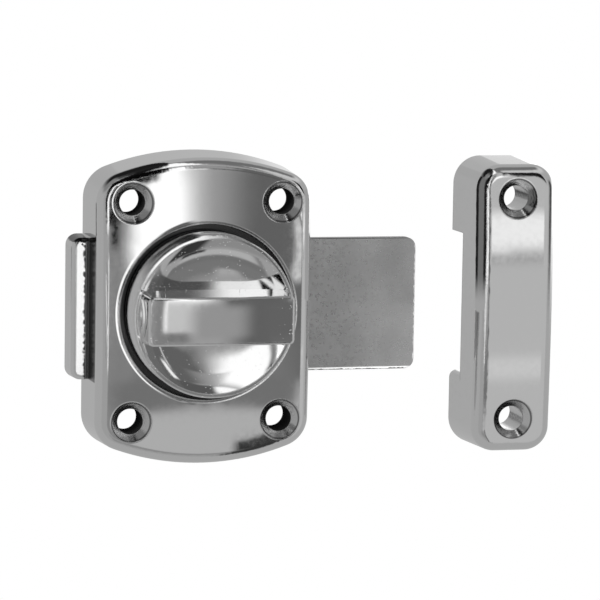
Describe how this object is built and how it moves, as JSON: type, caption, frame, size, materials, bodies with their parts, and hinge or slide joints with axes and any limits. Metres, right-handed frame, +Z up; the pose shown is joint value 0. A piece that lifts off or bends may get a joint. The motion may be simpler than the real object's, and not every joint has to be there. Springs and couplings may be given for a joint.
{
  "type": "surface door bolt",
  "caption": "Surface-mounted door bolt: a thumb turn in a cast chrome case slides a flat steel blade into a hollow cast keeper.",
  "frame": {"origin": "on the axis of the thumb turn, in the plane where the case and the keeper sit on the door and frame", "axes": "+X from the case toward the keeper, +Y into the door, so the front faces -Y, +Z up"},
  "size_m": [0.1023, 0.0292, 0.0652],
  "materials": {
    "chrome_casting": "polished chrome plate on a zinc die-casting",
    "chrome_keeper": "polished chrome plate on a zinc die-casting, a little softer on the face",
    "chrome_knob": "polished chrome plate, with fine casting specks in the dish",
    "blade_steel": "plated sheet steel, satin",
    "plated_steel": "zinc-plated sheet",
    "screw_steel": "zinc-plated",
    "spring_steel": "bright spring steel",
    "pinion_alloy": "plain cast zinc alloy, unplated"
  },
  "bodies": {
    "case": {"case": "chrome_casting", "back_plate": "plated_steel", "back_plate_screws": "screw_steel", "spring_washer": "spring_steel", "strip_spring": "spring_steel", "spring_rivet": "screw_steel"},
    "knob": {"knob": "chrome_knob", "drive_pinion": "pinion_alloy", "retaining_clip": "spring_steel"},
    "bolt": {"bolt_blade": "blade_steel", "rack": "pinion_alloy", "rack_rivets": "screw_steel"},
    "keeper": {"keeper": "chrome_keeper"}
  },
  "joints": [
    {"name": "knob_turn", "type": "hinge", "parent": "case", "child": "knob", "pos_m": [0, 0, 0], "axis": [0, -1, 0], "range_deg": [0, 180]},
    {"name": "bolt_slide", "type": "slide", "parent": "case", "child": "bolt", "axis": [-1, 0, 0], "range_m": [0, 0.022]},
    {"name": "keeper_approach", "type": "slide", "parent": "case", "child": "keeper", "axis": [-1, 0, 0], "range_m": [0, 0.022]}
  ],
  "couplings": [
    {"joint": "bolt_slide", "follows": "knob_turn", "m_per_rad": 0.007}
  ]
}
